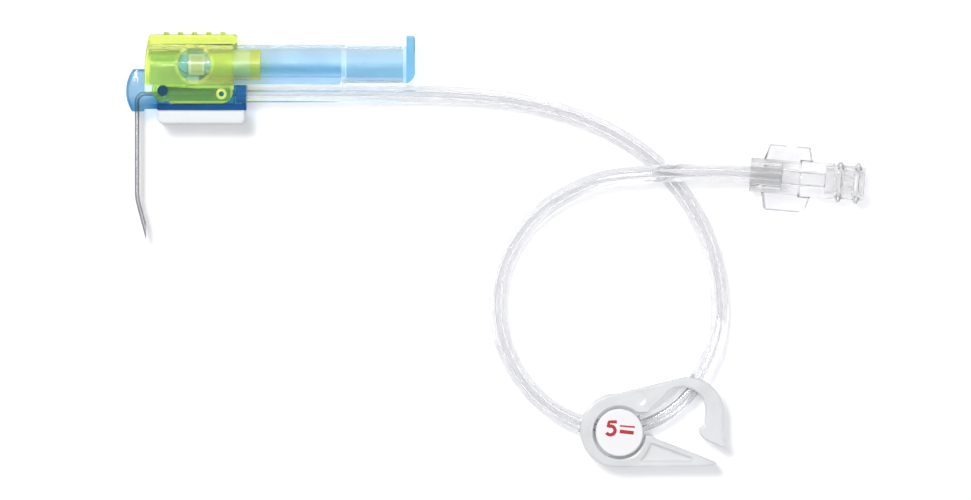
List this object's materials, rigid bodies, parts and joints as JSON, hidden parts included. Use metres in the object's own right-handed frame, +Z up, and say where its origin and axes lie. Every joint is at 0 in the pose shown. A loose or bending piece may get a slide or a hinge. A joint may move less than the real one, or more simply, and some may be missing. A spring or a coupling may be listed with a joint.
{
  "type": "safety huber needle",
  "caption": "Bent port needle with a padded hub, a housing that swings up and a sleeve that slides down over the needle; looped tubing, pinch clamp and winged female luer.",
  "frame": {"origin": "on the table under the middle of the needle, hub, pad, housing and sleeve", "axes": "+X along the closed sleeve towards its finger flange, +Y away from the skin, +Z up from the table"},
  "size_m": [0.1408, 0.0828, 0.0099],
  "materials": {
    "needle_steel": "polished",
    "blue_hub": "translucent gloss",
    "white_foam": "closed-cell foam",
    "green_housing": "translucent gloss",
    "green_core": "translucent gloss",
    "light_blue_sleeve": "translucent gloss",
    "clear_tubing": "clear",
    "clear_luer": "clear",
    "frosted_clamp": "frosted",
    "white_disc": "satin"
  },
  "bodies": {
    "hub": {"needle_hub": "blue_hub", "needle": "needle_steel", "foam_pad": "white_foam", "extension_tube": "clear_tubing", "luer_connector": "clear_luer", "pinch_clamp": "frosted_clamp", "rating_disc": "white_disc"},
    "housing": {"housing": "green_housing", "guide_core": "green_core"},
    "sleeve": {"needle_sleeve": "light_blue_sleeve"}
  },
  "joints": [
    {"name": "housing_pivot", "type": "hinge", "parent": "hub", "child": "housing", "pos_m": [-0.02042, 0.00861, 0.00495], "axis": [0, 0, 1], "range_deg": [0, 90]},
    {"name": "sleeve_slide", "type": "slide", "parent": "housing", "child": "sleeve", "axis": [-1, 0, 0], "range_m": [0, 0.027]}
  ]
}
